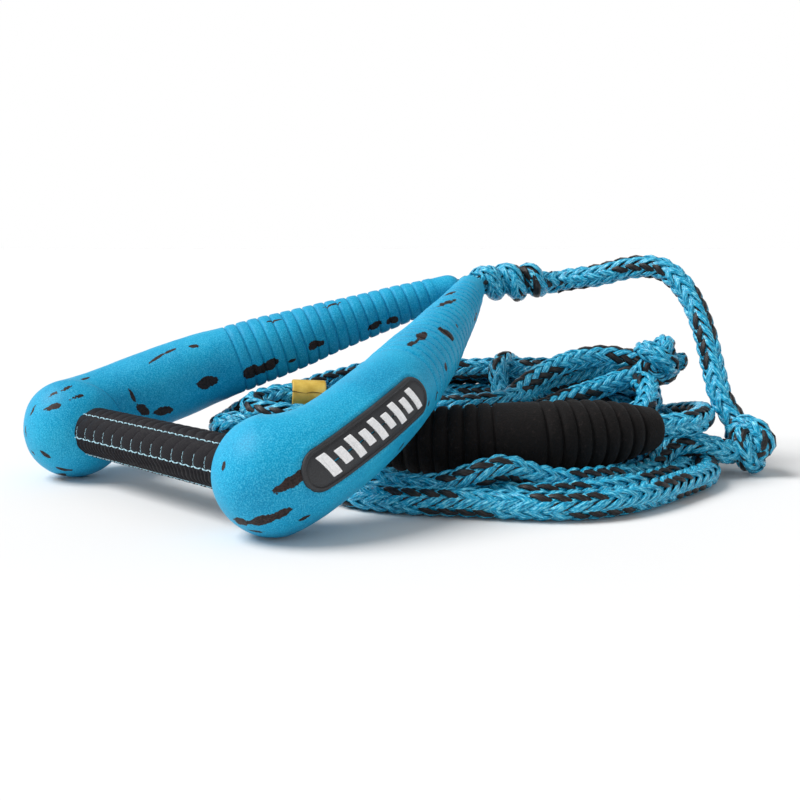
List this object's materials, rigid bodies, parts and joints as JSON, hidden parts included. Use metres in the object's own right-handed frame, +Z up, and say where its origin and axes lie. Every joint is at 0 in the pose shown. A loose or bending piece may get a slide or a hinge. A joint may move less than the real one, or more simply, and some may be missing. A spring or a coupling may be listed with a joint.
{
  "type": "tow rope handle",
  "caption": "Water-sports tow handle: foam-armed triangle with a gripped bar, braided bridle and tow rope laid in a coil, with a barrel float and a knotted end loop.",
  "frame": {"origin": "on the floor, below the middle of the handle and its apex knot", "axes": "+X is the pull direction from the bar to the apex knot, +Y runs along the bar to the rider's left, +Z is up"},
  "size_m": [0.3661, 0.3345, 0.1339],
  "materials": {
    "arm_foam": "matte moulded foam with dark flecks",
    "badge_rubber": "satin moulded rubber",
    "badge_marks": "satin white rubber",
    "grip_fabric": "pleated stretch fabric with ribs",
    "grip_thread": "pale blue thread",
    "grip_core": "closed-cell foam",
    "bar_metal": "plain drawn tube",
    "plug_plastic": "moulded",
    "rope": "glossy blue twelve-strand braid with black tracer strands",
    "float_foam": "matte closed-cell foam",
    "marker_plastic": "glossy yellow sleeve"
  },
  "bodies": {
    "root": {"tow_rope": "rope", "lead_knot": "rope", "rope_coil": "rope", "float_rope": "rope", "tow_loop": "rope", "loop_knot": "rope", "loop_tail": "rope", "marker_sleeve": "marker_plastic"},
    "handle": {"bar_tube": "bar_metal", "bar_plug_left": "plug_plastic", "bar_plug_right": "plug_plastic", "grip_foam": "grip_core", "grip_cover": "grip_fabric", "grip_stitching": "grip_thread", "arm_left": "arm_foam", "arm_right": "arm_foam", "badge_left": "badge_rubber", "badge_right": "badge_rubber", "badge_marks_left": "badge_marks", "badge_marks_right": "badge_marks", "bridle_rope": "rope", "apex_knot": "rope"},
    "float": {"swim_float": "float_foam"}
  },
  "joints": [
    {"name": "handle_lift", "type": "hinge", "parent": "root", "child": "handle", "pos_m": [0.16338, -0.02536, 0.115], "axis": [0, 1, 0], "range_deg": [0, 65]},
    {"name": "float_slide", "type": "hinge", "parent": "root", "child": "float", "pos_m": [0.17284, 0.06319, 0.031], "axis": [-0.0307, 0.0258, 0.9992], "range_deg": [-4.5, 4.5]}
  ]
}
